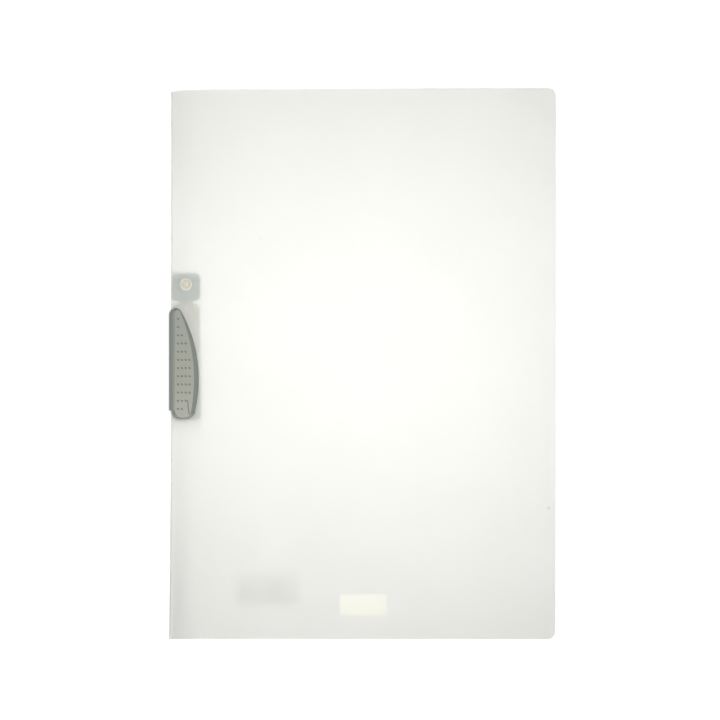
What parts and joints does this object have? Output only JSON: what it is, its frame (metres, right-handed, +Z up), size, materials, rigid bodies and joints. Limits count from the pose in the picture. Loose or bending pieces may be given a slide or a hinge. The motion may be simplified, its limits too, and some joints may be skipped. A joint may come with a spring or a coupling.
{
  "type": "clip folder",
  "caption": "A4 folder of frosted translucent film whose one-piece smoke-grey clip swings about a rivet at the spine to grip loose sheets.",
  "frame": {"origin": "middle of the folder's bounding box, on the plane that it lies on", "axes": "+X from the spine to the free edge, +Y from foot to head, +Z up out of the front cover"},
  "size_m": [0.218, 0.31, 0.0089],
  "materials": {
    "frosted_film": "frosted translucent polypropylene film",
    "smoke_clip": "satin smoke-grey moulding",
    "grey_plate": "satin blue-grey moulding",
    "cream_rivet": "satin cream"
  },
  "bodies": {
    "folder": {"back_cover_and_spine": "frosted_film", "pivot_plate": "grey_plate", "pivot_rivet": "cream_rivet"},
    "front_cover": {"front_cover": "frosted_film"},
    "swing_clip": {"swing_clip": "smoke_clip"}
  },
  "joints": [
    {"name": "cover_opening", "type": "hinge", "parent": "folder", "child": "front_cover", "pos_m": [-0.0885, 0, 0.00625], "axis": [0, -1, 0], "range_deg": [0, 150]},
    {"name": "clip_swing", "type": "hinge", "parent": "folder", "child": "swing_clip", "pos_m": [-0.0992, 0.0445, 0.0009], "axis": [0, 0, -1], "range_deg": [0, 110]}
  ]
}
